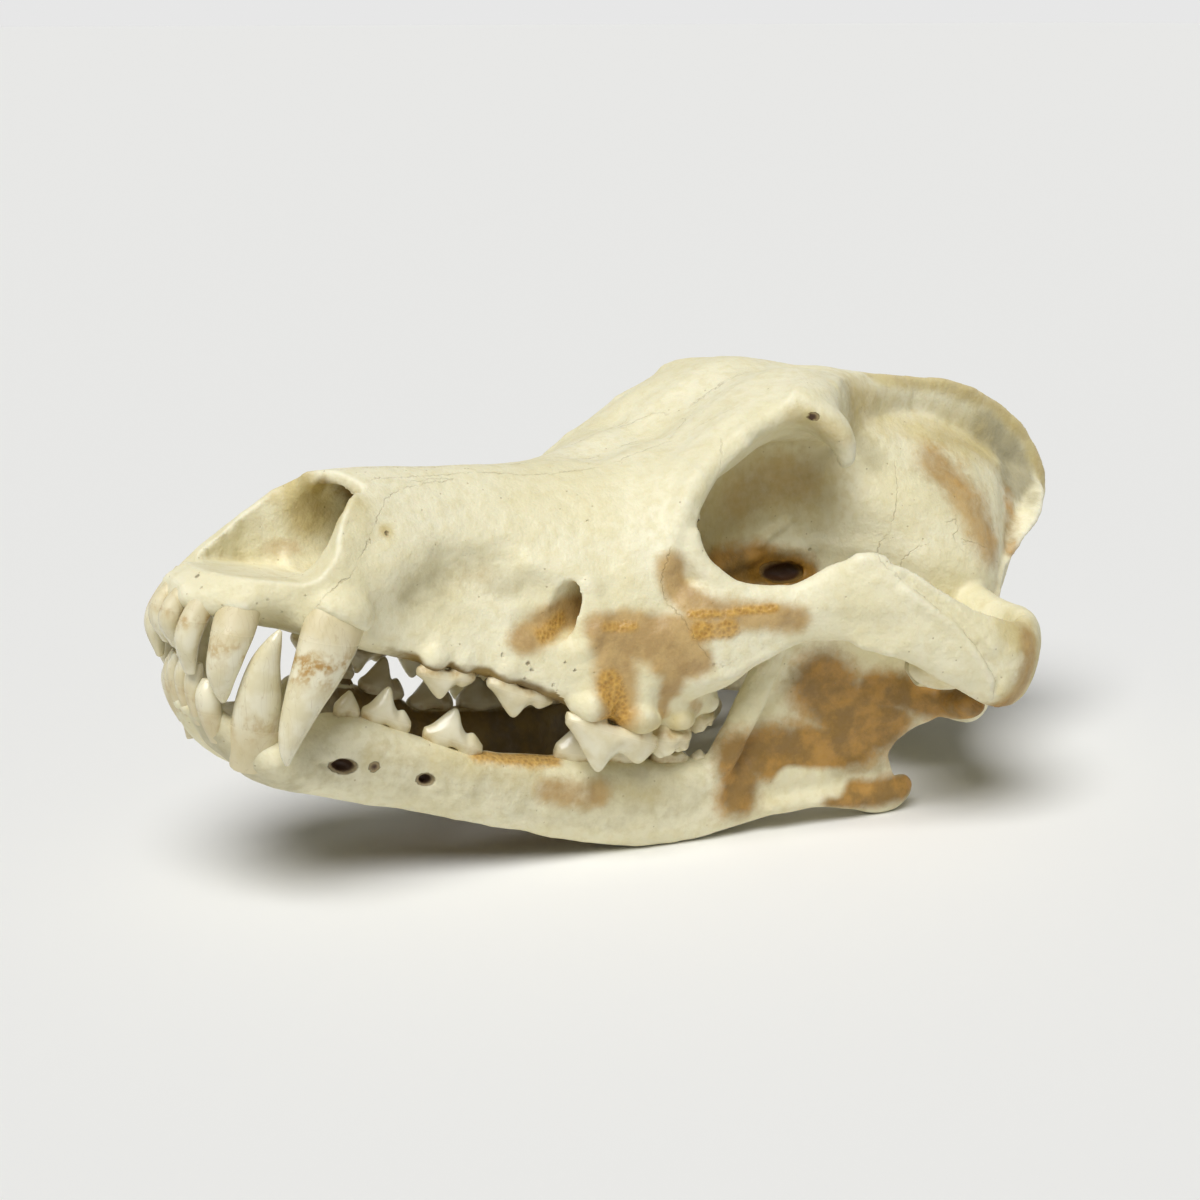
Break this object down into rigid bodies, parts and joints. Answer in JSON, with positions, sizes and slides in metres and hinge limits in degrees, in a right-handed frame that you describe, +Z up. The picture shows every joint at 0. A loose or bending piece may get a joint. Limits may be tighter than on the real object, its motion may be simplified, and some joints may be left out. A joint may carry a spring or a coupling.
{
  "type": "wolf skull",
  "caption": "Adult wolf skull with its lower jaw closed, bleached cream bone with amber-brown stains, resting on the lower edge of the jaw",
  "frame": {"origin": "on the ground under the middle of the bounding box", "axes": "+X to the back of the head, so the snout points along -X; +Y to the skull's right side; +Z up"},
  "size_m": [0.288, 0.148, 0.1194],
  "materials": {
    "bone": "dry bleached bone, matt to satin",
    "enamel": "tooth enamel, smooth and slightly glossy"
  },
  "bodies": {
    "root": {"muzzle": "bone", "braincase": "bone", "zygomatic_arch_left": "bone", "zygomatic_arch_right": "bone", "mandible_left": "bone", "mandible_right": "bone"}
  },
  "joints": []
}
